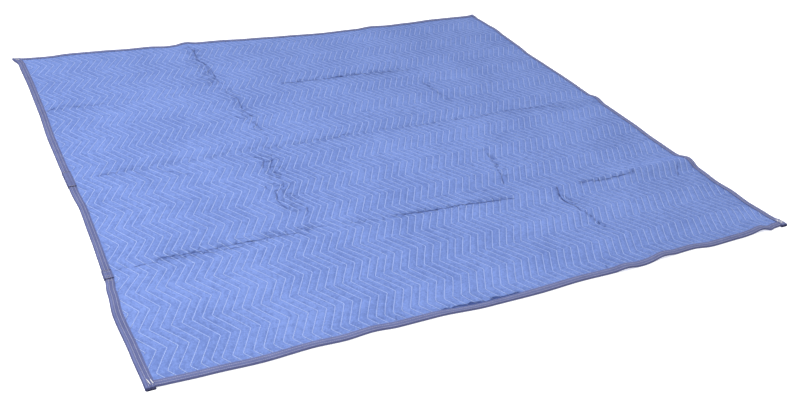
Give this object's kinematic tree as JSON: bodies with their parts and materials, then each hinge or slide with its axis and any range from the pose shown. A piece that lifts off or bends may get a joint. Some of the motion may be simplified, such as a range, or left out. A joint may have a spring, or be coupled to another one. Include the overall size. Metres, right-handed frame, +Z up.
{
  "type": "moving blanket",
  "caption": "Quilted moving blanket lying flat: zigzag-stitched padded panel with folded tape binding on all edges and soft packing creases.",
  "frame": {"origin": "bottom centre of the blanket, on the surface it lies on", "axes": "+X runs across the stitch lines, +Y along them away from the front edge, +Z up"},
  "size_m": [2.0536, 1.8615, 0.017],
  "materials": {
    "cover_cloth": "woven cotton and polyester cover cloth, cornflower blue, matte",
    "binding_tape": "woven binding tape, grey violet, matte"
  },
  "bodies": {
    "root": {"quilted_panel": "cover_cloth", "binding_front": "binding_tape", "binding_back": "binding_tape", "binding_left": "binding_tape", "binding_right": "binding_tape", "tape_join_front": "binding_tape", "tape_join_middle": "binding_tape"}
  },
  "joints": []
}
